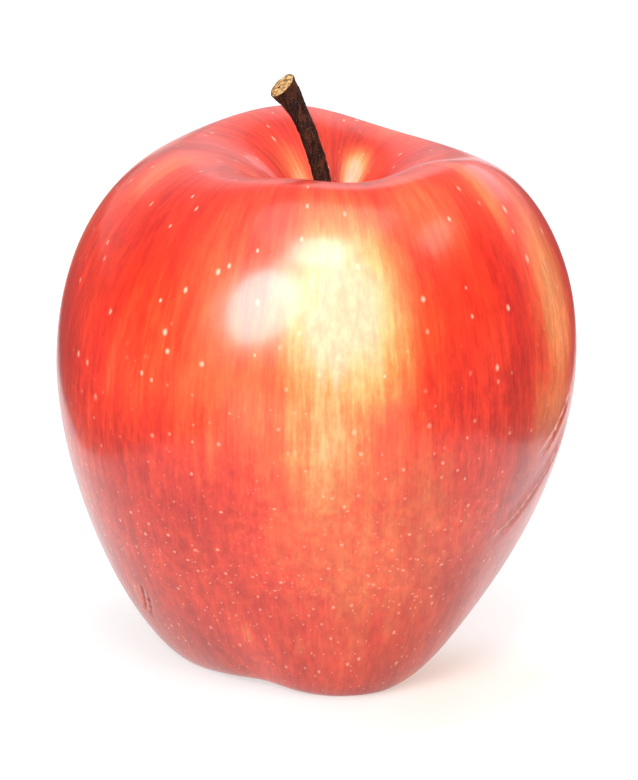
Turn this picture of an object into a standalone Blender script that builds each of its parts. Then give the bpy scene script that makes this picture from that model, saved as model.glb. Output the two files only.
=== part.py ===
"""An apple as picked: the fruit as one solid, its woody stem, and the dried calyx underneath.

Metres, +Z up. The fruit stands on its low lobes and the stem leans towards -X. The origin is
the middle of the whole object's box, on the surface that the apple stands on.

The fruit is a ring of meridians. Each meridian is a chain of four Bezier curves through its own
turning points: socket rim, crest, belly, foot, calyx plate. Five lobes move those points in and
out and up and down, so the crest, the sides and the feet are uneven in the way a real apple is.
"""

import math

import bmesh
import bpy
import numpy as np
from mathutils import Vector

# ---- Fruit: overall sizes ----
FRUIT_HEIGHT = 0.0744  # mean height of the crest above the surface it stands on
BELLY_RADIUS = 0.0383  # mean radius where the fruit is widest
BELLY_HEIGHT = 0.0425
CROWN_SHIFT_X = 0.0020  # how far the crown stands off the base
CROWN_SHIFT_Y = 0.0007

# ---- Fruit: stem cavity and calyx basin ----
CREST_RADIUS = 0.0202
CAVITY_DEPTH = 0.0140  # mean crest to cavity floor
CALYX_RADIUS = 0.0050  # flat plate at the top of the basin, where the calyx grows
CALYX_X = -0.0008
CALYX_Y = -0.0012
BASIN_DEPTH = 0.0105
FOOT_RADIUS = 0.0200
FOOT_ROUNDING = 0.0043  # reach of the curve from the flank into the foot
FOOT_PRESS = 0.0003  # how far the lowest feet are pressed flat

# ---- Fruit: fullness of the meridian, as shares of the distance to the next turning point ----
CAVITY_FULLNESS = 0.74  # how widely the crest rounds into the cavity
CAVITY_FLARE = 0.12
SHOULDER_OUT = 0.32
SHOULDER_UP = 0.647
FLANK_DOWN = 0.515
BASIN_FULLNESS = 0.50
BASIN_FLARE = 0.55

# ---- Fruit: lobes, one value for each, anticlockwise from the first lobe's direction ----
CREST_DIRECTION = math.radians(38)
CREST_IN_OUT = (-0.0003, -0.0001, 0.0006, -0.0009, 0.0006)
CREST_UP_DOWN = (-0.0031, 0.0010, -0.0004, -0.0001, 0.0007)
CREST_GROOVE = 0.0007
BELLY_DIRECTION = math.radians(8)
BELLY_IN_OUT = (-0.0013, -0.0002, 0.0021, 0.0003, -0.0010)
BELLY_GROOVE = 0.00095
FOOT_DIRECTION = math.radians(-4)
FOOT_IN_OUT = (-0.0036, 0.0000, 0.0010, 0.0009, 0.0046)
FOOT_LIFT = (0.0009, 0.0000, 0.0000, 0.0000, 0.0000)
FOOT_GROOVE = 0.0012

# ---- Stem ----
STEM_BASE_X = 0.0023  # where it leaves the cavity floor
STEM_LENGTH_UP = 0.0235  # height of the middle of its cut end above the cavity floor
STEM_REACH_X = -0.0070  # how far the cut end stands off the stem's base
STEM_REACH_Y = -0.0010
STEM_BASE_LEAN = math.radians(-2)
STEM_TIP_LEAN = math.radians(38)
STEM_FOOT_RADIUS = 0.0016
STEM_WAIST_RADIUS = 0.00125
STEM_KNOB_RADIUS = 0.0021
STEM_KNOB_LENGTH = 0.0060
STEM_KNOB_FLARE = 1.5  # above 1 the knob opens slowly, then faster towards the cut end
STEM_CUT_DIRECTION = Vector((-0.65, -0.23, 0.72))
SOCKET_DEPTH = 0.0020
GAP = 0.0003  # between pieces that touch

# ---- Calyx ----
SEPAL_COUNT = 5
SEPAL_DROP = 0.0048
SEPAL_REACH = 0.0036  # how far the tip curls outwards
SEPAL_WIDTH = 0.0031
SEPAL_THICKNESS = 0.0006
SEPAL_TIP_WIDTH = 0.0003
SEPAL_SPACING = 0.0012  # between the roots of two neighbours
STAMENS_CLEARANCE = 0.0010  # from the tuft to the sepals round it
STAMENS_LENGTH = 0.0034
STAMENS_NOTCH = 0.0012
STAMENS_COUNT = 9
STAMENS_WAIST = 0.8  # share of its radius that the column narrows to half way
STAMENS_HOLLOW = 0.5  # share of its radius that the end inside the points takes up

# ---- Colours and how rough each surface is ----
SKIN_COLOUR, SKIN_ROUGHNESS = (0.74, 0.11, 0.06), 0.3
BARK_COLOUR, BARK_ROUGHNESS = (0.20, 0.12, 0.08), 0.8
LEAF_COLOUR, LEAF_ROUGHNESS = (0.30, 0.22, 0.13), 0.9

# ---- Fineness of the meshes ----
MERIDIANS = 72
CAVITY_STEPS = 12
SHOULDER_STEPS = 13
FLANK_STEPS = 18
BASIN_STEPS = 12
STEM_SIDES = 14
STEM_STEPS = 16
SEPAL_SIDES = 8
SEPAL_STEPS = 8
SMOOTH_ANGLE = math.radians(40)

LOBES = 5
CAVITY_FLOOR = FRUIT_HEIGHT - CAVITY_DEPTH
SOCKET_RADIUS = STEM_FOOT_RADIUS + GAP
CROWN_SHIFT = Vector((CROWN_SHIFT_X, CROWN_SHIFT_Y))
STEM_PLACE = Vector((STEM_BASE_X, 0.0, CAVITY_FLOOR - SOCKET_DEPTH + GAP))
CALYX_PLACE = Vector((CALYX_X, CALYX_Y, BASIN_DEPTH - GAP))
SEPAL_RING_RADIUS = (SEPAL_WIDTH + SEPAL_SPACING) / 2 / math.tan(math.pi / SEPAL_COUNT)
STAMENS_RADIUS = SEPAL_RING_RADIUS - SEPAL_THICKNESS / 2 - STAMENS_CLEARANCE


def clear_scene():
    for old in list(bpy.data.objects):
        bpy.data.objects.remove(old, do_unlink=True)


def material(name, colour, roughness):
    made = bpy.data.materials.new(name)
    made.use_nodes = True
    shader = made.node_tree.nodes["Principled BSDF"]
    shader.inputs["Base Color"].default_value = (*colour, 1.0)
    shader.inputs["Roughness"].default_value = roughness
    shader.inputs["Metallic"].default_value = 0.0
    return made


def mesh_from_rings(name, rings, look):
    """One closed mesh: rings of equal size joined by quads, with a flat cap on each end ring."""
    shape = bmesh.new()
    loops = [[shape.verts.new(point) for point in ring] for ring in rings]
    for lower, upper in zip(loops, loops[1:]):
        for i in range(len(lower)):
            j = (i + 1) % len(lower)
            shape.faces.new((lower[i], lower[j], upper[j], upper[i]))
    shape.faces.new(loops[0])
    shape.faces.new(loops[-1])
    bmesh.ops.recalc_face_normals(shape, faces=shape.faces)
    mesh = bpy.data.meshes.new(name)
    shape.to_mesh(mesh)
    shape.free()
    mesh.shade_smooth()
    mesh.set_sharp_from_angle(angle=SMOOTH_ANGLE)
    mesh.materials.append(look)
    return mesh


def place(name, mesh, apple, location=(0, 0, 0), turn=0.0):
    """Stand a mesh in the apple: every piece is a child of the apple's own empty."""
    piece = bpy.data.objects.new(name, mesh)
    piece.parent = apple
    piece.location = location
    piece.rotation_euler.z = turn
    bpy.context.scene.collection.objects.link(piece)
    return piece


def bezier(start, start_handle, end_handle, end, steps):
    """Points along a cubic Bezier from start up to, but not including, end."""
    t = np.arange(steps)[:, None] / steps
    near = (1 - t) ** 3 * start + 3 * (1 - t) ** 2 * t * start_handle
    return near + 3 * (1 - t) * t**2 * end_handle + t**3 * end


def lobed(angle, direction, tops, groove):
    """A value for each lobe, blended round the fruit and lowered in the grooves between lobes."""
    spacing = 2 * math.pi / LOBES
    total = 0.0
    for number, top in enumerate(tops):
        off = (angle - direction - number * spacing + math.pi) % (2 * math.pi) - math.pi
        if abs(off) < spacing:
            total += top * (1 + math.cos(math.pi * off / spacing)) / 2
    return total - groove * (1 - math.cos(LOBES * (angle - direction))) / 2


def meridian(angle):
    """The fruit's outline at one angle, as rows of radius, height, and how far each point's ring
    follows the stem's place and the calyx's place instead of the fruit's own middle."""
    crest_radius = CREST_RADIUS + lobed(angle, CREST_DIRECTION, CREST_IN_OUT, 0)
    crest_height = FRUIT_HEIGHT + lobed(angle, CREST_DIRECTION, CREST_UP_DOWN, CREST_GROOVE)
    belly_radius = BELLY_RADIUS + lobed(angle, BELLY_DIRECTION, BELLY_IN_OUT, BELLY_GROOVE)
    foot_radius = FOOT_RADIUS + lobed(angle, FOOT_DIRECTION, FOOT_IN_OUT, 0)
    foot_height = lobed(angle, FOOT_DIRECTION, FOOT_LIFT, -FOOT_GROOVE) - FOOT_PRESS

    socket = np.array((SOCKET_RADIUS, CAVITY_FLOOR))
    crest = np.array((crest_radius, crest_height))
    belly = np.array((belly_radius, BELLY_HEIGHT))
    foot = np.array((foot_radius, foot_height))
    plate = np.array((CALYX_RADIUS, BASIN_DEPTH))
    out = np.array((1.0, 0.0))
    up = np.array((0.0, 1.0))

    curves = [
        bezier(
            socket,
            socket + out * CAVITY_FLARE * (crest_radius - SOCKET_RADIUS),
            crest - out * CAVITY_FULLNESS * (crest_radius - SOCKET_RADIUS),
            crest,
            CAVITY_STEPS,
        ),
        bezier(
            crest,
            crest + out * SHOULDER_OUT * (belly_radius - crest_radius),
            belly + up * SHOULDER_UP * (crest_height - BELLY_HEIGHT),
            belly,
            SHOULDER_STEPS,
        ),
        bezier(
            belly,
            belly - up * FLANK_DOWN * (BELLY_HEIGHT - foot_height),
            foot + out * FOOT_ROUNDING,
            foot,
            FLANK_STEPS,
        ),
        bezier(
            foot,
            foot - out * BASIN_FULLNESS * (foot_radius - CALYX_RADIUS),
            plate + out * BASIN_FLARE * (foot_radius - CALYX_RADIUS),
            plate,
            BASIN_STEPS,
        ),
        plate[None],
    ]
    points = np.concatenate(curves)
    row = np.arange(len(points))
    stem_share = np.clip(1 - row / CAVITY_STEPS, 0, 1)
    calyx_share = np.clip(1 - (row[-1] - row) / BASIN_STEPS, 0, 1)
    return np.column_stack((points, stem_share, calyx_share))


def fruit_point(angle, radius, height, stem_share, calyx_share):
    """A meridian's point in space: pressed flat where it stands, and shifted with the crown."""
    height = max(height, 0.0)
    own_middle = CROWN_SHIFT * height / FRUIT_HEIGHT
    middle = own_middle.lerp(STEM_PLACE.xy, stem_share).lerp(CALYX_PLACE.xy, calyx_share)
    return Vector(
        (middle.x + radius * math.cos(angle), middle.y + radius * math.sin(angle), height)
    )


def fruit_mesh(look):
    angles = [2 * math.pi * i / MERIDIANS for i in range(MERIDIANS)]
    meridians = [meridian(angle) for angle in angles]
    socket_floor = (SOCKET_RADIUS, CAVITY_FLOOR - SOCKET_DEPTH, 1.0, 0.0)
    rings = [[fruit_point(angle, *socket_floor) for angle in angles]]
    for row in range(len(meridians[0])):
        rings.append([fruit_point(a, *line[row]) for a, line in zip(angles, meridians)])
    return mesh_from_rings("fruit", rings, look)


def stem_path():
    """Points up the middle of the stem from its foot, and its direction at each."""
    start = Vector((0.0, 0.0, 0.0))
    end = Vector((STEM_REACH_X, STEM_REACH_Y, CAVITY_FLOOR + STEM_LENGTH_UP - STEM_PLACE.z))
    handle = (end - start).length / 3
    start_handle = start + handle * Vector((-math.sin(STEM_BASE_LEAN), 0, math.cos(STEM_BASE_LEAN)))
    end_handle = end - handle * Vector((-math.sin(STEM_TIP_LEAN), 0, math.cos(STEM_TIP_LEAN)))
    curve = [np.array(point) for point in (start, start_handle, end_handle, end)]
    points = [Vector(point) for point in bezier(*curve, STEM_STEPS)] + [end]
    ahead = points[1:] + [end + (end - end_handle)]
    behind = [start - (start_handle - start)] + points[:-1]
    return points, [(a - b).normalized() for a, b in zip(ahead, behind)]


def stem_radius(to_end, from_foot):
    """Thick at the foot, thin at the waist, and flaring into the knob at the cut end."""
    knob = max(0.0, 1 - to_end / STEM_KNOB_LENGTH) ** STEM_KNOB_FLARE
    foot = max(0.0, 1 - from_foot / (SOCKET_DEPTH + STEM_KNOB_LENGTH))
    swell = (STEM_KNOB_RADIUS - STEM_WAIST_RADIUS) * knob
    return STEM_WAIST_RADIUS + swell + (STEM_FOOT_RADIUS - STEM_WAIST_RADIUS) * foot


def stem_mesh(look):
    points, directions = stem_path()
    steps = [(b - a).length for a, b in zip(points, points[1:])]
    rings = []
    for row, (point, direction) in enumerate(zip(points, directions)):
        radius = stem_radius(sum(steps[row:]), sum(steps[:row]))
        across = direction.cross(Vector((0, 1, 0))).normalized()
        along = direction.cross(across)
        ring = []
        for side in range(STEM_SIDES):
            turn = 2 * math.pi * side / STEM_SIDES
            ring.append(point + radius * (math.cos(turn) * across + math.sin(turn) * along))
        rings.append(ring)
    cut = STEM_CUT_DIRECTION.normalized()
    tip, direction = points[-1], directions[-1]
    rings[-1] = [p - direction * ((p - tip).dot(cut) / direction.dot(cut)) for p in rings[-1]]
    return mesh_from_rings("stem", rings, look)


def sepal_mesh(look):
    """A pointed leaf that hangs from the calyx plate, faces +X and curls outwards."""
    outward = Vector((1.0, 0.0, 0.0))
    sideways = Vector((0.0, 1.0, 0.0))
    down = Vector((0.0, 0.0, -1.0))
    rings = []
    for row in range(SEPAL_STEPS + 1):
        along = row / SEPAL_STEPS
        middle = outward * (SEPAL_RING_RADIUS + SEPAL_REACH * along**2) + down * SEPAL_DROP * along
        heading = (down * SEPAL_DROP + outward * SEPAL_REACH * 2 * along).normalized()
        thick = heading.cross(sideways)
        width = SEPAL_TIP_WIDTH + (SEPAL_WIDTH - SEPAL_TIP_WIDTH) * math.cos(along * math.pi / 2)
        ring = []
        for side in range(SEPAL_SIDES):
            around = 2 * math.pi * side / SEPAL_SIDES
            offset = sideways * math.cos(around) * width / 2
            offset += thick * math.sin(around) * SEPAL_THICKNESS / 2
            ring.append(middle + offset)
        rings.append(ring)
    return mesh_from_rings("sepal", rings, look)


def stamens_mesh(look):
    """The tuft in the middle of the calyx: a short column that ends in a ring of points."""
    turns = [math.pi * i / STAMENS_COUNT for i in range(2 * STAMENS_COUNT)]

    def ring(radius, depths):
        return [
            Vector((radius * math.cos(turn), radius * math.sin(turn), -depths[i % 2]))
            for i, turn in enumerate(turns)
        ]

    valley = STAMENS_LENGTH - STAMENS_NOTCH
    rings = [
        ring(STAMENS_RADIUS, (0.0, 0.0)),
        ring(STAMENS_RADIUS * STAMENS_WAIST, (valley / 2, valley / 2)),
        ring(STAMENS_RADIUS, (STAMENS_LENGTH, valley)),
        ring(STAMENS_RADIUS * STAMENS_HOLLOW, (valley, valley)),
    ]
    return mesh_from_rings("stamens", rings, look)


def centre_on_origin(apple, pieces):
    """Move the apple so that the middle of the whole object's box stands at X = Y = 0."""
    bpy.context.view_layer.update()
    corners = np.array([p.matrix_world @ vertex.co for p in pieces for vertex in p.data.vertices])
    middle = (corners.min(axis=0) + corners.max(axis=0)) / 2
    apple.location = (-middle[0], -middle[1], 0.0)


def main():
    clear_scene()
    skin = material("skin", SKIN_COLOUR, SKIN_ROUGHNESS)
    bark = material("bark", BARK_COLOUR, BARK_ROUGHNESS)
    dried_leaf = material("dried_leaf", LEAF_COLOUR, LEAF_ROUGHNESS)

    apple = bpy.data.objects.new("apple", None)
    bpy.context.scene.collection.objects.link(apple)
    pieces = [
        place("fruit", fruit_mesh(skin), apple),
        place("stem", stem_mesh(bark), apple, STEM_PLACE),
        place("stamens", stamens_mesh(dried_leaf), apple, CALYX_PLACE),
    ]
    sepal = sepal_mesh(dried_leaf)
    for number in range(SEPAL_COUNT):
        turn = FOOT_DIRECTION + 2 * math.pi * number / SEPAL_COUNT
        pieces.append(place(f"sepal_{number + 1}", sepal, apple, CALYX_PLACE, turn))
    centre_on_origin(apple, pieces)


main()
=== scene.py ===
"""The apple's looks: waxy streaked skin, woody stem and dried calyx, on a white studio floor.

Places on the skin are given in skin coordinates: an angle round the fruit, anticlockwise from +X
and seen from above, and a length down the skin from the stem's socket to the calyx.
"""

import math

import bmesh
import bpy
import numpy as np
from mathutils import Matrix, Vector, noise


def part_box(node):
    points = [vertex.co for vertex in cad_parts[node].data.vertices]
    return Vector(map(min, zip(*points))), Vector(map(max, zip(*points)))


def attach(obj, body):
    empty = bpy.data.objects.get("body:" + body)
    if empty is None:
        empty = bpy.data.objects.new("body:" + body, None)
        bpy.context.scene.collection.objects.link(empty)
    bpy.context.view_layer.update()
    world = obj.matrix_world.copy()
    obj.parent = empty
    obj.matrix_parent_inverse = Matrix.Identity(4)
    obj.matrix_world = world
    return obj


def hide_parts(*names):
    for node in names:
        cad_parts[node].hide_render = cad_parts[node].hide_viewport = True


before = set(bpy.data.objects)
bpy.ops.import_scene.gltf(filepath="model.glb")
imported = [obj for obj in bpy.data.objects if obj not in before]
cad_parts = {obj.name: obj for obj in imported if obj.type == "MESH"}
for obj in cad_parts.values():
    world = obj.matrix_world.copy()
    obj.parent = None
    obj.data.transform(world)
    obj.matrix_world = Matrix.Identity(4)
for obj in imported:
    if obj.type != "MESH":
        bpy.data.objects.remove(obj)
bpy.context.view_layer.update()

MM = 0.001
MERGE = 0.001 * MM

# ---- Camera ----
VIEW_ELEVATION = math.radians(18.76)
VIEW_DISTANCE = 0.6
VIEW_OFFSET = Vector((0.46, -0.93, 0.08)) * MM  # from the fruit's middle to the point looked at
VIEW_LENS = 189.5  # mm
VIEW_SENSOR = 36  # mm, on the image's long side
VIEW_CLIP = (0.02, 20)

# ---- How much finer each piece is than its CAD solid: rounds of subdivision ----
FRUIT_LEVELS = 2
STEM_LEVELS = 3
CALYX_LEVELS = 2
FLAT_ANGLE = math.radians(0.2)  # CAD faces that meet flatter than this become one
KEPT_CREASE = 0.6  # how sharp an edge stays that is kept through the subdivision

# ---- Fruit ----
LUMP_SIZE = 16 * MM
LUMP_HEIGHT = 0.12 * MM
RING_RADIUS = 19 * MM  # circle inside the flesh that each meridian winds round
# Turns round that circle, from level outwards: at the crest, socket, feet and calyx plate.
CREST_TURN = math.radians(88)
SOCKET_TURN = math.radians(128)
FOOT_TURN = math.radians(-88)
PLATE_TURN = math.radians(-117)
SKIN_ROWS = 80  # steps in which the length down the skin is measured
SKIN_RADIUS = 36 * MM  # radius of the cylinder that the skin patterns are laid out on

# ---- Stem ----
STEM_BOW = 0.5 * MM  # the stem bends a little more than its CAD solid, towards -X
STEM_EDGE = math.radians(35)  # sharper edges than this are kept: the rim of the cut end
CUT_REACH = (0.20 * MM, 0.02 * MM)  # from the tip to where the cut end begins and is complete
CUT_FACING = (0.75, 0.95)  # how squarely a point faces the cut's way, from none to all of it
BARK_LUMPS = ((0.9, 0.10, 1.3), (0.35, 0.06, 5.1))  # size and height in mm, and seed
CUT_PITS = (0.7, 0.16, 8.2)
CUT_SINK = 0.10 * MM  # the cut end's fibres have dried back by this much

# ---- Calyx ----
LEAF_LUMPS = (0.8, 0.12, 2.2)  # size and height in mm, and seed

# Where the yellow ground colour shows through the red, and a painted glint in the cavity: angle in
# degrees, mm down the skin, half width in degrees, half length in mm, and strength.
GROUND_PATCHES = {
    "front": (-84, 47, 15.5, 14.5, 1.0),
    "front_tail": (-88, 64, 10, 17, 0.62),
    "front_drips": (-80, 82, 22, 22, 0.30),
    "front_haze": (-100, 52, 34, 20, 0.25),
    "right_band": (-21, 52, 9, 15, 0.66),
    "right_foot": (-25, 67, 12, 9, 0.42),
    "right_streak": (-33, 35, 4, 7, 0.36),
    "upper_right": (-58, 34, 14, 8, 0.24),
    "left_shoulder": (-164, 28, 8, 7, 0.25),
    "low_fleck_a": (-108, 105, 1.2, 2.2, 0.36),
    "low_fleck_b": (-94, 105, 1.1, 2.0, 0.34),
    "low_streak": (-75, 83, 1.5, 5, 0.36),
    "left_streak": (-113, 68, 1.3, 6, 0.30),
    # Yellow streaks on the cavity's right wall, brightened into a painted glint.
    "cavity_glint_and_streaks": (62, 13, 10, 5, 0.85),
    "cavity_left": (122, 10, 14, 5, 0.45),
    "cavity_front_left": (-160, 12, 14, 6, 0.25),
    "back": (120, 60, 24, 24, 0.55),
    "back_left": (165, 48, 14, 16, 0.35),
    "back_right": (62, 44, 13, 18, 0.42),
}

# Scars: start and end as angle and mm down the skin, bow in mm, depth, half width and lip in mm.
SCARS = {
    "scar_long": ((-46, 91), (-9, 73.5), 2.2, 0.55, 0.80, 0.34),
    "scar_short": ((-30, 76), (-13, 69), 0.8, 0.30, 0.50, 0.18),
    "scar_mark": ((-21.9, 45.6), (-21.4, 48.6), 0.1, 0.12, 0.28, 0.05),
    "scar_base_a": ((-145, 107), (-140.5, 101), 0.3, 0.40, 0.40, 0.20),
    "scar_base_b": ((-143, 107.5), (-138.5, 101.5), 0.3, 0.30, 0.36, 0.16),
}

# A shallow notch between two lobes, low on the left: angle, mm down, half width in degrees,
# half length in mm, and depth in mm.
NOTCH = (-108, 112, 8, 6, 0.6)
LIP_ASIDE = 1.5  # from a scar's middle to its lip, in half widths
OVAL_FALL = 0.9  # how fast a patch fades outwards
GROUND_EDGE, NOTCH_EDGE = 2.6, 2  # how sharp the edges of both are
SCAR_TAPER = (-0.02, 0.25)  # share of its length over which a groove deepens at each end

# ---- Skin looks ----
# Skin colours by redness, from the yellow ground to the deepest red.
SKIN_COLOURS = (
    (0.0, (0.80, 0.37, 0.22)),
    (0.20, (0.82, 0.31, 0.11)),
    (0.42, (0.80, 0.18, 0.048)),
    (0.62, (0.78, 0.100, 0.028)),
    (0.82, (0.72, 0.036, 0.012)),
    (1.0, (0.50, 0.014, 0.010)),
)
STEM_FOOT_COLOUR = (0.66, 0.40, 0.09, 1)
DULL_COLOUR = (0.60, 0.19, 0.12, 1)
# Painted shade: the lower skin is darkened towards the base, as if less lit there.
LOW_PAINTED_SHADE = (0.76, 0.82, 0.88, 1)
# Painted shade in the stem's cavity, together with its deeper red.
CAVITY_RED_AND_PAINTED_SHADE = (0.62, 0.34, 0.28, 1)
DOT_COLOUR = (0.90, 0.55, 0.38, 1)
LIP_COLOUR, LIP_STRENGTH = (0.82, 0.36, 0.24, 1), 0.32
SCAR_COLOUR, SCAR_STRENGTH = (0.13, 0.028, 0.018, 1), 0.85

# Changes down the skin: where each begins and is complete in mm, and its value at both.
BANDS = {
    "cavity": (21, 6, 0, 1),
    "basin": (112, 126, 0, 1),
    "low": (56, 82, 0, 1),
    "streak_depth": (50, 72, 0.38, 0.55),
    "patch_depth": (44, 66, 0.45, 0.80),
    "stem_foot": (11, 3, 0, 0.6),
    "dull": (60, 96, 0, 0.13),
    # shade: where the painted shade on the lower skin begins and is full.
    "shade": (58, 78, 0, 1),
}

# Noise on the skin: size of its lumps round the fruit and down it in mm, detail and roughness.
PATTERNS = {
    "fine": (0.38, 5, 3, 0.6),
    "middle": (1.6, 15, 3, 0.55),
    "broad": (9, 26, 3, 0.5),
    "speckle": (0.35, 0.9, 2, 0.6),
    "blotch": (1.5, 2.4, 3, 0.6),
    "cloud": (11, 17, 2, 0.5),
    "mottle": (1.1, 2.6, 4, 0.65),
    "wander": (1.2, 1.2, 3, 0.6),
    "wax": (5, 9, 4, 0.6),
    "pores": (0.5, 0.7, 2, 0.5),
    "waves": (3.5, 6, 2, 0.5),
}

# How strongly each noise breaks up the red: high on the fruit, and towards its base.
STREAKS = {
    "fine": (0.62, 0.40),
    "middle": (0.95, 0.60),
    "blotch": (0.0, 0.85),
    "speckle": (0.24, 0.24),
}
BLUSH = 0.93  # redness of plain skin
BROAD_SWING, BROAD_SHIFT = 0.30, -0.17
CAVITY_LESS_RED = 0.16
BASIN_LESS_RED = 0.35
PATCH_GROUND = (0.05, 0.4)  # ground colour at which a patch's own streaks begin and are full
# The cavity's shade is painted shade, with a deeper red.
RED_AND_SHADE_GROUND = (0.5, 0.0)  # ground colour at which the cavity's shade begins and is full
NOISE_ENDS = (0.3, 0.7)  # the middle range of a noise, stretched to the tones below
CLOUD_TONES = (0.86, 1.08)
MOTTLE_TONES = (0.80, 1.06)

# Lenticels: spacing down the skin in mm, spacing round it as a share of that, radius as a share
# too, where they begin and are complete in mm down the skin, and strength. They are few and large
# near the crest, many and small towards the base.
LENTICELS = (
    (3.9, 0.75, 0.13, 72, 56, 0.55),
    (2.3, 0.9, 0.14, 46, 76, 0.38),
    (1.25, 0.9, 0.17, 66, 92, 0.27),
)
LENTICEL_LEAST, LENTICEL_VARIES = 0.55, 0.9  # shares of the radius
LENTICEL_FADE = (1.15, 0.25)  # outer and inner end of its soft edge, in radii

SCAR_WANDER = 0.4 * MM
SCAR_FADE = (0.60, 0.10)  # outer and inner end of the dark line's soft edge, in half widths
LIP_FADE = (0.9, 0.2)
SCAR_ENDS = 0.2  # share of its length over which a scar fades out at each end
SCAR_LEAST = 0.55  # strength of a scar's line, to which its depth in mm is added, up to 1

SKIN_ROUGH = 0.27
WAX_ROUGH, DOT_ROUGH, SCAR_ROUGH, CAVITY_ROUGH = 0.14, 0.18, 0.3, 0.34
WAVES_BUMP = (0.05 * MM, 0.5)
PORES_BUMP = (0.012 * MM, 0.5)
DOTS_BUMP = (0.02 * MM, 0.6)

# ---- Stem and calyx looks ----
BARK_COLOURS = (
    (0.34, (0.006, 0.003, 0.003)),
    (0.50, (0.017, 0.006, 0.004)),
    (0.62, (0.085, 0.023, 0.009)),
    (0.76, (0.24, 0.085, 0.035)),
)
# Noise on the stem: size of its lumps across it and along it in mm, detail and roughness.
BARK_GRAIN = (0.35, 2.6, 4, 0.65)
BARK_BLOTCH = (1.1, 2.2, 3, 0.6)
BARK_GRIT = (0.16, 0.22, 3, 0.7)
WOOD_GRAIN = (0.45, 0.45, 4, 0.7)
BARK_FLECKS = (0.60, 0.70, 0, 0.55)  # grit at which flecks begin and are full, and their strength
BARK_FLECK_COLOUR = (0.36, 0.19, 0.10, 1)
BARK_BUMP = (0.16 * MM, 1.0)
WOOD_COLOURS = (
    (0.38, (0.05, 0.020, 0.008)),
    (0.50, (0.40, 0.21, 0.08)),
    (0.66, (0.74, 0.50, 0.23)),
)
LEAF_COLOURS = (
    (0.30, (0.035, 0.020, 0.010)),
    (0.50, (0.17, 0.105, 0.050)),
    (0.72, (0.42, 0.34, 0.20)),
)
LEAF_HAIR_COLOUR = (0.55, 0.50, 0.38, 1)
LEAF_BLOTCH = (1.1, 4, 0.65)  # size in mm, detail and roughness
LEAF_HAIRS = (0.18, 3, 0.7)
LEAF_BUMP = (0.05 * MM, 0.8)

# ---- Studio ----
FLOOR_SIZE = 6.0
BACKDROP_RADIUS, BACKDROP_HEIGHT, BACKDROP_POSTS = 5.0, 4.0, 48
BACKDROP_GLOW = 0.94

PAPER_TONES = ((0, (0.30, 0.297, 0.295)), (1, (0.32, 0.317, 0.315)))
SHADOW_SIDE = (-0.06, 0.04, 0.68, 0.90)  # along X + Y, and the table's glow at both ends
# Painted contact shade: the table's glow is dimmed close under the fruit.
PAINTED_CONTACT_SHADE = (0.02, 0.06, 0.8, 1)  # from the middle, and the share of the glow left there
FAR_TABLE = (0.12, 0.24)
FAR_GLOW = 0.78
WARM_COLOUR = (0.84, 0.66, 0.56, 1)  # light passed on by the fruit, low at its front right
WARM_ASIDE, WARM_DEPTH, WARM_REACH = (-0.01, 0.02), (0.0, -0.02), (0.060, 0.034)

WORLD_LEAST = 0.06
WORLD_ABOVE = (0.35, 0.95, 0.6)  # height at which it begins and is complete, and strength
WORLD_BEHIND = (0.30, 0.80, 0.5)

FLAG_PLAN = ((0.10, -0.17), (0.13, -0.06), (0.085, 0.045), (0.075, 0.30))
FLAG_HEIGHT = 0.068
FLAG_GLOW = 0.12

# Lamps: azimuth from the camera's side towards +X and elevation in degrees, width, height, and
# radiance. All stand at one distance and face the fruit's middle.
LAMPS = {
    "key_left": (-26, 32, 0.34, 0.42, 18),
    "key_top": (-6, 60, 0.24, 0.20, 16),
    "key_bridge": (-17, 47, 0.20, 0.30, 7),
    "front": (-6, 34, 1.15, 0.62, 1.4),
    "ceiling": (-18, 80, 0.58, 0.52, 2.4),
    "wall": (180, 32, 1.20, 0.42, 0.5),
    "side_right": (125, 15, 0.30, 0.40, 13),
    "behind_right": (144, 26, 0.42, 0.30, 1.6),
    "upper_right": (71, 49, 0.24, 0.22, 3.4),
}
ONLY_IN_REFLECTIONS = {"key_bridge", "ceiling", "wall"}
NOT_IN_REFLECTIONS = {"side_right"}
LAMP_DISTANCE = 0.75


# ---------------------------------------------------------------- meshes


def add_object(name, mesh):
    piece = bpy.data.objects.new(name, mesh)
    bpy.context.scene.collection.objects.link(piece)
    return piece


def smooth_copy(node, name, levels, keep_edges=None):
    """A finer copy of a CAD node: its triangles joined to quads, then subdivided."""
    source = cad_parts[node].data
    shape = bmesh.new()
    points = [shape.verts.new(vertex.co) for vertex in source.vertices]
    for polygon in source.polygons:
        shape.faces.new([points[i] for i in polygon.vertices])
    bmesh.ops.remove_doubles(shape, verts=shape.verts, dist=MERGE)
    bmesh.ops.recalc_face_normals(shape, faces=shape.faces)
    bmesh.ops.dissolve_limit(
        shape, angle_limit=FLAT_ANGLE, verts=shape.verts, edges=shape.edges
    )
    bmesh.ops.join_triangles(
        shape,
        faces=shape.faces,
        angle_face_threshold=math.radians(50),
        angle_shape_threshold=math.radians(60),
    )
    if keep_edges is not None:
        crease = shape.edges.layers.float.new("crease_edge")
        for edge in shape.edges:
            if edge.calc_face_angle(0) > keep_edges:
                edge[crease] = KEPT_CREASE
    mesh = bpy.data.meshes.new(name)
    shape.to_mesh(mesh)
    shape.free()
    piece = add_object(name, mesh)
    finer = piece.modifiers.new("finer", "SUBSURF")
    finer.levels = finer.render_levels = levels

    def subdivided():
        evaluated = piece.evaluated_get(bpy.context.evaluated_depsgraph_get())
        return bpy.data.meshes.new_from_object(evaluated)

    # Subdivision draws the surface in, so the coarse points first move out by as much.
    coarse = points_of(mesh)
    set_points(mesh, 2 * coarse - points_of(subdivided())[: len(coarse)])
    piece.data = subdivided()
    piece.modifiers.clear()
    piece.data.shade_smooth()
    return piece


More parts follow.
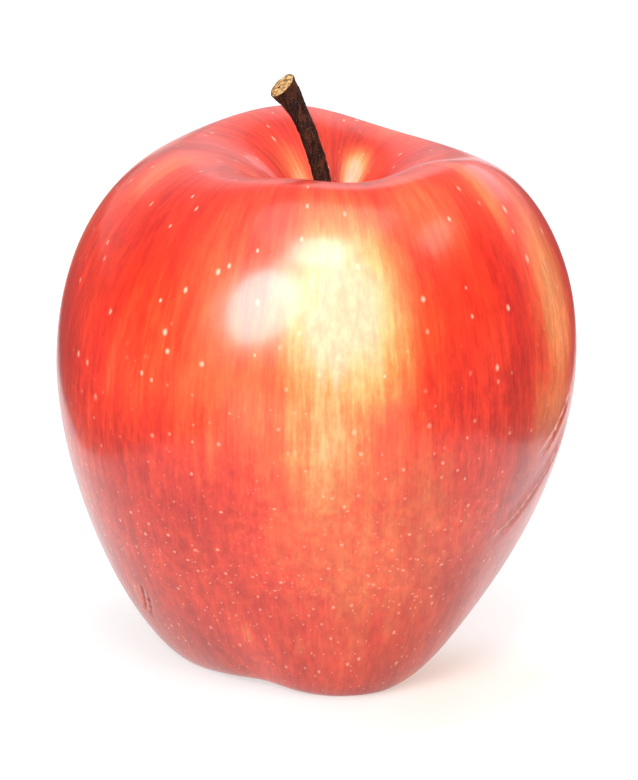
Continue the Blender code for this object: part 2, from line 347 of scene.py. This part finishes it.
def points_of(mesh):
    flat = np.empty(len(mesh.vertices) * 3, np.float32)
    mesh.vertices.foreach_get("co", flat)
    return flat.reshape(-1, 3).astype(float)


def normals_of(mesh):
    flat = np.empty(len(mesh.vertices) * 3, np.float32)
    mesh.vertex_normals.foreach_get("vector", flat)
    return flat.reshape(-1, 3).astype(float)


def set_points(mesh, points):
    mesh.vertices.foreach_set("co", points.astype(np.float32).ravel())
    mesh.update()


def set_attribute(mesh, name, values):
    values = np.asarray(values, np.float32)
    kind, field = ("FLOAT_VECTOR", "vector") if values.ndim == 2 else ("FLOAT", "value")
    made = mesh.attributes.new(name, kind, "POINT")
    made.data.foreach_set(field, values.ravel())


def noise_at(points, size, seed=0.0):
    """Smooth noise from about -1 to 1 at each point, with lumps of the given size."""
    offset = Vector((seed, seed, seed))
    return np.array([noise.noise(Vector(p) / size + offset) for p in points])


def lumps_at(points, size_mm, height_mm, seed):
    """Metres that lumps of this size and height rise at each point."""
    return height_mm * MM * noise_at(points, size_mm * MM, seed)


def ease(value, low, high):
    """0 below low, 1 above high, and smooth in between."""
    t = np.clip((value - low) / (high - low), 0, 1)
    return t * t * (3 - 2 * t)


def middle_of(node):
    low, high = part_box(node)
    return (low + high) / 2


# ---------------------------------------------------------------- skin coordinates


def stem_place():
    """The middle of the stem's foot, from the lowest ring of its mesh."""
    points = points_of(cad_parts["stem"].data)
    foot = points[points[:, 2] < points[:, 2].min() + 0.1 * MM]
    return (foot.min(axis=0) + foot.max(axis=0)) / 2


class SkinCoordinates:
    """Turns places on the fruit into an angle round it and a length down the skin."""

    def __init__(self):
        self.middle = np.array(middle_of("fruit"))
        self.stem = stem_place()[:2]
        self.calyx = np.array(middle_of("stamens"))[:2]
        _, radius, turn, height = self.polar(points_of(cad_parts["fruit"].data))
        edges = np.linspace(SOCKET_TURN, PLATE_TURN, SKIN_ROWS)
        slot = np.digitize(-turn, -edges)
        rows = [
            (turn[slot == i].mean(), radius[slot == i].mean(), height[slot == i].mean())
            for i in range(len(edges) + 1)
            if (slot == i).any()
        ]
        self.turns, radii, heights = np.array(rows).T
        steps = np.hypot(np.diff(radii), np.diff(heights))
        self.lengths = np.concatenate(([0], np.cumsum(steps)))

    def polar(self, points):
        def about(centre):
            off = points[:, :2] - centre
            radius = np.hypot(off[:, 0], off[:, 1])
            turn = np.arctan2(points[:, 2] - self.middle[2], radius - RING_RADIUS)
            return np.arctan2(off[:, 1], off[:, 0]), radius, turn

        turn = about(self.middle[:2])[2]
        top = np.clip((turn - CREST_TURN) / (SOCKET_TURN - CREST_TURN), 0, 1)[:, None]
        base = np.clip((turn - FOOT_TURN) / (PLATE_TURN - FOOT_TURN), 0, 1)[:, None]
        centre = self.middle[:2] * (1 - top) + self.stem * top
        return (*about(centre * (1 - base) + self.calyx * base), points[:, 2])

    def __call__(self, points):
        angle, _, turn, _ = self.polar(points)
        return angle, np.interp(-turn, -self.turns, self.lengths)


def angle_between(angle, other):
    return (angle - other + math.pi) % (2 * math.pi) - math.pi


def oval(angle, down, turn, length, half_turn, half_length, edge):
    """1 at a place on the skin, falling to 0 outside an oval round it; a larger edge is sharper."""
    across = angle_between(angle, math.radians(turn)) / math.radians(half_turn)
    along = (down - length * MM) / (half_length * MM)
    return np.exp(-OVAL_FALL * (across**2 + along**2) ** (edge / 2))


def ground_colour(angle, down):
    """How much yellow ground colour, and painted glint in the cavity, shows at each point, from 0
    to 1.
    """
    shown = np.zeros(len(angle))
    for *patch, strength in GROUND_PATCHES.values():
        shown = np.maximum(shown, strength * oval(angle, down, *patch, GROUND_EDGE))
    return shown


def scar_line(angle, down, start, end, bow):
    """For each point: metres across the scar's line, and its share of the way along it."""
    middle_turn = math.radians((start[0] + end[0]) / 2)
    flat = np.column_stack((angle_between(angle, middle_turn) * SKIN_RADIUS, down))
    a, b = (
        np.array((angle_between(math.radians(turn), middle_turn) * SKIN_RADIUS, length * MM))
        for turn, length in (start, end)
    )
    ahead = (b - a) / np.linalg.norm(b - a)
    aside = np.array((-ahead[1], ahead[0]))
    along = (flat - a) @ ahead / np.linalg.norm(b - a)
    return (flat - a) @ aside - bow * MM * 4 * along * (1 - along), along


# ---------------------------------------------------------------- node materials


class Shader:
    """Builds one node material. Values may be numbers, colours or sockets of other nodes."""

    def __init__(self, name):
        self.material = bpy.data.materials.new(name)
        self.material.use_nodes = True
        self.tree = self.material.node_tree
        self.surface = self.tree.nodes["Principled BSDF"]

    def add(self, kind, inputs=(), output=0, **settings):
        made = self.tree.nodes.new(kind)
        for key, value in settings.items():
            setattr(made, key, value)
        for socket, value in dict(inputs).items():
            self.put(made.inputs[socket], value)
        return made.outputs[output]

    def put(self, socket, value):
        if isinstance(value, bpy.types.NodeSocket):
            self.tree.links.new(value, socket)
        elif value is not None:
            socket.default_value = value

    def math(self, operation, a, b=None, c=None, clamp=False):
        return self.add(
            "ShaderNodeMath", {0: a, 1: b, 2: c}, operation=operation, use_clamp=clamp
        )

    def vector(self, operation, a, b=None):
        return self.add("ShaderNodeVectorMath", {0: a, 1: b}, operation=operation)

    def split(self, vector):
        return self.add("ShaderNodeSeparateXYZ", {0: vector}).node.outputs

    def attribute(self, name, output="Fac"):
        return self.add("ShaderNodeAttribute", output=output, attribute_name=name)

    def noise(self, place, scale, detail=2.0, roughness=0.5):
        return self.add(
            "ShaderNodeTexNoise",
            {"Vector": place, "Scale": scale, "Detail": detail, "Roughness": roughness},
        )

    def laid_noise(self, place, around, down, detail, roughness):
        """Noise whose lumps have these sizes in mm."""
        laid = stretched(self, place, around * MM, down * MM)
        return self.noise(laid, 1, detail, roughness)

    def dots(self, place):
        """Distance to the nearest scattered dot, and that dot's own random colour."""
        near = self.tree.nodes.new("ShaderNodeTexVoronoi")
        self.put(near.inputs["Vector"], place)
        near.inputs["Scale"].default_value = 1
        near.inputs["Randomness"].default_value = 1
        return near.outputs["Distance"], near.outputs["Color"]

    def between(self, value, low, high, to_low=0.0, to_high=1.0):
        """Maps low..high smoothly to to_low..to_high, and holds the ends."""
        inputs = {0: value, 1: low, 2: high, 3: to_low, 4: to_high}
        return self.add("ShaderNodeMapRange", inputs, interpolation_type="SMOOTHSTEP")

    def swing(self, noise, amount):
        """Turns noise round one half into noise round zero, this strong."""
        return self.math("MULTIPLY", self.math("SUBTRACT", noise, 0.5), amount)

    def total(self, first, *others):
        for other in others:
            first = self.math("ADD", first, other)
        return first

    def most(self, first, *others):
        for other in others:
            first = self.math("MAXIMUM", first, other)
        return first

    def mix(self, share, a, b, blend="MIX"):
        return self.add(
            "ShaderNodeMix", {0: share, 6: a, 7: b}, output=2, data_type="RGBA", blend_type=blend
        )

    def ramp(self, value, stops):
        """Colours at places from 0 to 1, given in rising order."""
        made = self.tree.nodes.new("ShaderNodeValToRGB")
        self.put(made.inputs[0], value)
        marks = made.color_ramp.elements
        for place, _ in stops[1:-1]:
            marks.new(place)
        for mark, (place, colour) in zip(marks, stops):
            mark.position, mark.color = place, (*colour, 1)
        return made.outputs[0]

    def bump(self, height, distance, strength=1.0, normal=None):
        inputs = {"Height": height, "Distance": distance, "Strength": strength, "Normal": normal}
        return self.add("ShaderNodeBump", inputs)

    def set(self, **sockets):
        for name, value in sockets.items():
            self.put(self.surface.inputs[name.replace("_", " ")], value)
        return self.material


def stretched(shader, place, around, down):
    """A place scaled so that noise of scale 1 has lumps of these sizes, in metres."""
    return shader.vector("MULTIPLY", place, (1 / around, 1 / around, 1 / down))


class SkinShader(Shader):
    """A material laid out in skin coordinates."""

    def __init__(self):
        super().__init__("skin")
        self.place = self.attribute("skin_place", "Vector")
        self.down = self.split(self.place)[2]
        self.ground = self.attribute("ground")
        self.cavity = self.band("cavity")

    def band(self, name):
        start, full, at_start, at_full = BANDS[name]
        return self.between(self.down, start * MM, full * MM, at_start, at_full)

    def pattern(self, name):
        return self.laid_noise(self.place, *PATTERNS[name])


def redness(skin):
    """The blush less the ground colour, from 0 to 1, broken up by streaks that run down the skin.

    Towards the base the streaks give way to blotches.
    """
    low = skin.band("low")
    streaks = skin.total(
        *(
            skin.swing(skin.pattern(name), skin.between(low, 0, 1, high_up, low_down))
            for name, (high_up, low_down) in STREAKS.items()
        )
    )
    patch_depth = skin.math(
        "MULTIPLY", skin.band("patch_depth"), skin.between(skin.ground, *PATCH_GROUND)
    )
    depth = skin.most(skin.band("streak_depth"), patch_depth, skin.cavity)
    red = skin.math("MULTIPLY_ADD", streaks, depth, BLUSH)
    broad = skin.math("MULTIPLY_ADD", skin.pattern("broad"), BROAD_SWING, BROAD_SHIFT)
    red = skin.math("SUBTRACT", skin.math("ADD", red, broad), skin.ground)
    red = skin.math("SUBTRACT", red, skin.math("MULTIPLY", skin.cavity, CAVITY_LESS_RED))
    basin = skin.math("MULTIPLY", skin.band("basin"), BASIN_LESS_RED)
    return skin.math("SUBTRACT", red, basin, clamp=True)


def flesh_colour(skin):
    """The colour without its dots and scars: cloudy over centimetres, mottled over millimetres."""
    colour = skin.ramp(redness(skin), SKIN_COLOURS)
    colour = skin.mix(skin.band("stem_foot"), colour, STEM_FOOT_COLOUR)
    colour = skin.mix(skin.band("dull"), colour, DULL_COLOUR)
    # Painted shade: the skin darkens towards the base.
    colour = skin.mix(skin.band("shade"), colour, LOW_PAINTED_SHADE, blend="MULTIPLY")
    # Painted shade and deeper red in the cavity, where little ground colour shows.
    cavity_red_and_painted_shade = skin.math("MULTIPLY", skin.cavity, skin.between(skin.ground, *RED_AND_SHADE_GROUND))
    colour = skin.mix(cavity_red_and_painted_shade, colour, CAVITY_RED_AND_PAINTED_SHADE, blend="MULTIPLY")
    cloud = skin.between(skin.pattern("cloud"), *NOISE_ENDS, *CLOUD_TONES)
    mottle = skin.between(skin.pattern("mottle"), *NOISE_ENDS, *MOTTLE_TONES)
    return skin.mix(1.0, colour, skin.math("MULTIPLY", cloud, mottle), blend="MULTIPLY")


def lenticels(skin):
    """How much of each point is a pale dot."""
    layers = []
    for spacing, closeness, reach, start, full, strength in LENTICELS:
        laid = stretched(skin, skin.place, spacing * closeness * MM, spacing * MM)
        distance, chance = skin.dots(laid)
        size = skin.math(
            "MULTIPLY_ADD", chance, reach * LENTICEL_VARIES, reach * LENTICEL_LEAST
        )
        dot = skin.between(skin.math("DIVIDE", distance, size), *LENTICEL_FADE)
        shown = skin.between(skin.down, start * MM, full * MM, 0, strength)
        layers.append(skin.math("MULTIPLY", dot, shown))
    return skin.most(*layers)


def scar_marks(skin):
    """How much of each point is a scar's thin brown line, and its paler lip along one side."""
    wander = skin.swing(skin.pattern("wander"), SCAR_WANDER)
    lines, lips = [], []
    for name, (_, _, _, depth_mm, half_width, _) in SCARS.items():
        across, along, _ = skin.split(skin.attribute(name, "Vector"))
        share = skin.math("DIVIDE", skin.math("ADD", across, wander), half_width * MM)
        ends = skin.math(
            "MULTIPLY",
            skin.between(along, 0, SCAR_ENDS),
            skin.between(along, 1, 1 - SCAR_ENDS),
        )
        line = skin.between(skin.math("ABSOLUTE", share), *SCAR_FADE)
        line = skin.math("MULTIPLY", line, ends)
        lines.append(skin.math("MULTIPLY", line, min(1, SCAR_LEAST + depth_mm)))
        aside = skin.math("ABSOLUTE", skin.math("ADD", share, LIP_ASIDE))
        lips.append(skin.math("MULTIPLY", skin.between(aside, *LIP_FADE), ends))
    return skin.most(*lines), skin.most(*lips)


def skin_material():
    skin = SkinShader()
    dots = lenticels(skin)
    scars, lips = scar_marks(skin)
    colour = skin.mix(dots, flesh_colour(skin), DOT_COLOUR)
    colour = skin.mix(skin.math("MULTIPLY", lips, LIP_STRENGTH), colour, LIP_COLOUR)
    colour = skin.mix(skin.math("MULTIPLY", scars, SCAR_STRENGTH), colour, SCAR_COLOUR)
    rough = skin.math("MULTIPLY_ADD", skin.pattern("wax"), WAX_ROUGH, SKIN_ROUGH)
    for mark, more in ((dots, DOT_ROUGH), (scars, SCAR_ROUGH), (skin.cavity, CAVITY_ROUGH)):
        rough = skin.math("MULTIPLY_ADD", mark, more, rough)
    normal = skin.bump(skin.pattern("waves"), *WAVES_BUMP)
    normal = skin.bump(skin.pattern("pores"), *PORES_BUMP, normal)
    normal = skin.bump(dots, *DOTS_BUMP, normal)
    return skin.set(
        Base_Color=colour,
        Roughness=rough,
        Normal=normal,
        IOR=1.45,
        Specular_IOR_Level=0.34,
        Coat_Weight=0.5,
        Coat_Roughness=0.15,
    )


def bark_material():
    bark = Shader("bark")
    place = bark.attribute("stem_place", "Vector")
    grain = bark.laid_noise(place, *BARK_GRAIN)
    blotch = bark.laid_noise(place, *BARK_BLOTCH)
    grit = bark.laid_noise(place, *BARK_GRIT)
    tone = bark.math("MULTIPLY_ADD", grain, 0.5, bark.math("MULTIPLY", blotch, 0.5))
    fleck = bark.between(grit, *BARK_FLECKS)
    colour = bark.mix(fleck, bark.ramp(tone, BARK_COLOURS), BARK_FLECK_COLOUR)
    wood = bark.ramp(bark.laid_noise(place, *WOOD_GRAIN), WOOD_COLOURS)
    colour = bark.mix(bark.attribute("cut"), colour, wood)
    height = bark.math("MULTIPLY_ADD", grain, 0.7, bark.math("MULTIPLY", grit, 0.3))
    return bark.set(
        Base_Color=colour,
        Roughness=bark.math("MULTIPLY_ADD", grit, 0.3, 0.60),
        Specular_IOR_Level=0.12,
        Normal=bark.bump(height, *BARK_BUMP),
    )


def dried_leaf_material():
    leaf = Shader("dried_leaf")
    place = leaf.add("ShaderNodeTexCoord", output=3)
    blotch, hairs = (
        leaf.noise(place, 1 / (size * MM), detail, roughness)
        for size, detail, roughness in (LEAF_BLOTCH, LEAF_HAIRS)
    )
    hairy = leaf.between(hairs, 0.55, 0.72, 0, 0.5)
    return leaf.set(
        Base_Color=leaf.mix(hairy, leaf.ramp(blotch, LEAF_COLOURS), LEAF_HAIR_COLOUR),
        Roughness=leaf.between(hairs, 0.3, 0.7, 0.75, 0.95),
        Normal=leaf.bump(hairs, *LEAF_BUMP),
    )


def floor_material():
    paper = Shader("light_table")
    place = paper.add("ShaderNodeTexCoord", output=3)
    distance = paper.add("ShaderNodeVectorMath", {0: place}, output=1, operation="LENGTH")
    aside, depth, _ = paper.split(place)
    # The lamps light the near left, so the table glows more where the apple's shadow falls.
    glow = paper.between(paper.math("ADD", aside, depth), *SHADOW_SIDE)
    # Painted shade: the table glows less close under the fruit.
    glow = paper.math("MULTIPLY", glow, paper.between(distance, *PAINTED_CONTACT_SHADE))
    far = paper.between(distance, *FAR_TABLE)
    glow = paper.add("ShaderNodeMix", {0: far, 2: glow, 3: FAR_GLOW})
    front_right = paper.math(
        "MULTIPLY", paper.between(aside, *WARM_ASIDE), paper.between(depth, *WARM_DEPTH)
    )
    warm = paper.math("MULTIPLY", front_right, paper.between(distance, *WARM_REACH))
    return paper.set(
        Base_Color=paper.ramp(paper.noise(place, 40, 2), PAPER_TONES),
        Roughness=0.9,
        Specular_IOR_Level=0.2,
        Emission_Color=paper.mix(warm, (1, 1, 1, 1), WARM_COLOUR),
        Emission_Strength=glow,
    )


def plain_glow(name, strength):
    """A surface that gives out an even white light and takes none."""
    plain = Shader(name)
    return plain.set(
        Base_Color=(0, 0, 0, 1),
        Roughness=1,
        Specular_IOR_Level=0,
        Emission_Color=(1, 1, 1, 1),
        Emission_Strength=strength,
    )


# ---------------------------------------------------------------- pieces


def make_skin():
    skin = smooth_copy("fruit", "apple_skin", FRUIT_LEVELS)
    mesh = skin.data
    points, normals = points_of(mesh), normals_of(mesh)
    angle, down = SkinCoordinates()(points)
    lift = LUMP_HEIGHT * noise_at(points, LUMP_SIZE, seed=3.7)
    *notch, depth = NOTCH
    lift -= depth * MM * oval(angle, down, *notch, NOTCH_EDGE)
    for name, (start, end, bow, depth, half_width, lip) in SCARS.items():
        across, along = scar_line(angle, down, start, end, bow)
        taper = ease(along, *SCAR_TAPER) * ease(1 - along, *SCAR_TAPER)
        share = across / (half_width * MM)
        groove = depth * np.exp(-(share**2))
        ridge = lip * np.exp(-((share + LIP_ASIDE) ** 2))
        lift += MM * taper * (ridge - groove)
        near = np.column_stack((across, along, np.zeros(len(along))))
        set_attribute(mesh, name, near)
    points += normals * lift[:, None]
    points[:, 2] = np.maximum(points[:, 2], 0)  # the feet rest on the floor
    set_points(mesh, points)
    round_place = SKIN_RADIUS * np.column_stack((np.cos(angle), np.sin(angle)))
    set_attribute(mesh, "skin_place", np.column_stack((round_place, down)))
    set_attribute(mesh, "ground", ground_colour(angle, down))
    mesh.materials.clear()
    mesh.materials.append(skin_material())
    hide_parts("fruit")
    return skin


def make_stem():
    top = max(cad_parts["stem"].data.polygons, key=lambda p: p.center.z)
    cut_normal = np.array(top.normal)
    stem = smooth_copy("stem", "apple_stem", STEM_LEVELS, keep_edges=STEM_EDGE)
    mesh = stem.data
    points, normals = points_of(mesh), normals_of(mesh)
    low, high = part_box("stem")
    reach = points @ cut_normal
    begins, complete = CUT_REACH
    cut = ease(reach, reach.max() - begins, reach.max() - complete)
    cut *= ease(normals @ cut_normal, *CUT_FACING)
    rough = sum(lumps_at(points, *lumps) for lumps in BARK_LUMPS)
    pitted = lumps_at(points, *CUT_PITS) - CUT_SINK
    points += normals * (rough * (1 - cut) + pitted * cut)[:, None]
    rise = (points[:, 2] - low[2]) / (high[2] - low[2])
    points[:, 0] -= STEM_BOW * np.sin(np.pi * np.clip(rise, 0, 1))
    set_points(mesh, points)
    set_attribute(mesh, "cut", cut)
    set_attribute(mesh, "stem_place", points - np.array(low))
    mesh.materials.clear()
    mesh.materials.append(bark_material())
    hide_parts("stem")
    return stem


def make_calyx(look):
    made = []
    for node in sorted(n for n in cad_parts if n.startswith("sepal") or n == "stamens"):
        piece = smooth_copy(node, "dried_" + node, CALYX_LEVELS)
        points, normals = points_of(piece.data), normals_of(piece.data)
        lift = lumps_at(points, *LEAF_LUMPS)
        set_points(piece.data, points + normals * lift[:, None])
        piece.data.materials.clear()
        piece.data.materials.append(look)
        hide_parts(node)
        made.append(piece)
    return made


# ---------------------------------------------------------------- studio


def make_sheet(name, corners, faces, look):
    mesh = bpy.data.meshes.new(name)
    mesh.from_pydata(corners, [], faces)
    mesh.materials.append(look)
    sheet = add_object(name, mesh)
    return sheet


def make_floor():
    size = FLOOR_SIZE
    corners = [(-size, -size, 0), (size, -size, 0), (size, size, 0), (-size, size, 0)]
    make_sheet("floor", corners, [(0, 1, 2, 3)], floor_material())


def make_backdrop():
    """A plain pale wall far round the table, which only the camera sees."""
    posts = BACKDROP_POSTS
    turns = [2 * math.pi * i / posts for i in range(posts)]
    corners = [
        (BACKDROP_RADIUS * math.cos(turn), BACKDROP_RADIUS * math.sin(turn), height)
        for height in (0, BACKDROP_HEIGHT)
        for turn in turns
    ]
    panels = [(i, (i + 1) % posts, (i + 1) % posts + posts, i + posts) for i in range(posts)]
    backdrop = make_sheet("backdrop", corners, panels, plain_glow("backdrop", BACKDROP_GLOW))
    backdrop.visible_glossy = backdrop.visible_diffuse = backdrop.visible_shadow = False


def make_flags():
    """Dark boards at both sides that show only in reflections, as flags in a studio."""
    look = plain_glow("flag", FLAG_GLOW)
    posts = [Vector((*place, 0)) for place in FLAG_PLAN]
    top = Vector((0, 0, FLAG_HEIGHT))
    panels = [(i, i + 1, i + 1 + len(posts), i + len(posts)) for i in range(len(posts) - 1)]
    for name, side in (("flag_left", Vector((-1, 1, 1))), ("flag_right", Vector((1, 1, 1)))):
        corners = [side * post for post in posts] + [side * (post + top) for post in posts]
        flag = make_sheet(name, corners, panels, look)
        flag.visible_camera = flag.visible_diffuse = flag.visible_shadow = False


def make_world():
    """Dim at the sides and in front of the apple, lighter above and behind it."""
    world = bpy.data.worlds.new("studio")
    bpy.context.scene.world = world
    world.use_nodes = True
    tree = world.node_tree
    background = tree.nodes["Background"]
    background.inputs["Color"].default_value = (1, 1, 1, 1)
    direction = tree.nodes.new("ShaderNodeTexCoord").outputs["Generated"]
    split = tree.nodes.new("ShaderNodeSeparateXYZ")
    tree.links.new(direction, split.inputs[0])

    def between(value, low, high):
        made = tree.nodes.new("ShaderNodeMapRange")
        made.interpolation_type = "SMOOTHSTEP"
        tree.links.new(value, made.inputs[0])
        made.inputs[1].default_value, made.inputs[2].default_value = low, high
        return made.outputs[0]

    def join(operation, a, b):
        made = tree.nodes.new("ShaderNodeMath")
        made.operation = operation
        for socket, value in zip(made.inputs, (a, b)):
            if isinstance(value, float):
                socket.default_value = value
            else:
                tree.links.new(value, socket)
        return made.outputs[0]

    *above, above_strength = WORLD_ABOVE
    *behind, behind_strength = WORLD_BEHIND
    overhead = join("MULTIPLY", between(split.outputs[2], *above), above_strength)
    far = join("MULTIPLY", between(split.outputs[1], *behind), behind_strength)
    strength = join("ADD", join("MAXIMUM", far, overhead), WORLD_LEAST)
    tree.links.new(strength, background.inputs["Strength"])


def soft_box(name, azimuth, elevation, width, height, radiance):
    """An oval lamp that faces the fruit's middle."""
    turn, lift = math.radians(azimuth), math.radians(elevation)
    away = Vector(
        (math.sin(turn) * math.cos(lift), -math.cos(turn) * math.cos(lift), math.sin(lift))
    )
    lamp = bpy.data.lights.new(name, "AREA")
    lamp.shape = "ELLIPSE"
    lamp.size, lamp.size_y = width, height
    lamp.energy = radiance * math.pi * (math.pi / 4 * width * height)
    stand = bpy.data.objects.new(name, lamp)
    stand.location = middle_of("fruit") + away * LAMP_DISTANCE
    stand.rotation_euler = away.to_track_quat("Z", "Y").to_euler()
    stand.visible_glossy = name not in NOT_IN_REFLECTIONS
    stand.visible_diffuse = name not in ONLY_IN_REFLECTIONS
    bpy.context.scene.collection.objects.link(stand)


def make_camera():
    target = middle_of("fruit") + VIEW_OFFSET
    back = Vector((0, -math.cos(VIEW_ELEVATION), math.sin(VIEW_ELEVATION)))
    lens = bpy.data.cameras.new("camera")
    lens.lens = VIEW_LENS
    lens.sensor_width = VIEW_SENSOR
    lens.clip_start, lens.clip_end = VIEW_CLIP
    camera = bpy.data.objects.new("camera", lens)
    camera.location = target + back * VIEW_DISTANCE
    camera.rotation_euler = back.to_track_quat("Z", "Y").to_euler()
    bpy.context.scene.collection.objects.link(camera)
    bpy.context.scene.camera = camera


def main():
    for piece in [make_skin(), make_stem(), *make_calyx(dried_leaf_material())]:
        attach(piece, "root")
    make_floor()
    make_backdrop()
    make_world()
    for name, lamp in LAMPS.items():
        soft_box(name, *lamp)
    make_flags()
    make_camera()
    bpy.context.scene.view_settings.view_transform = "Standard"


main()
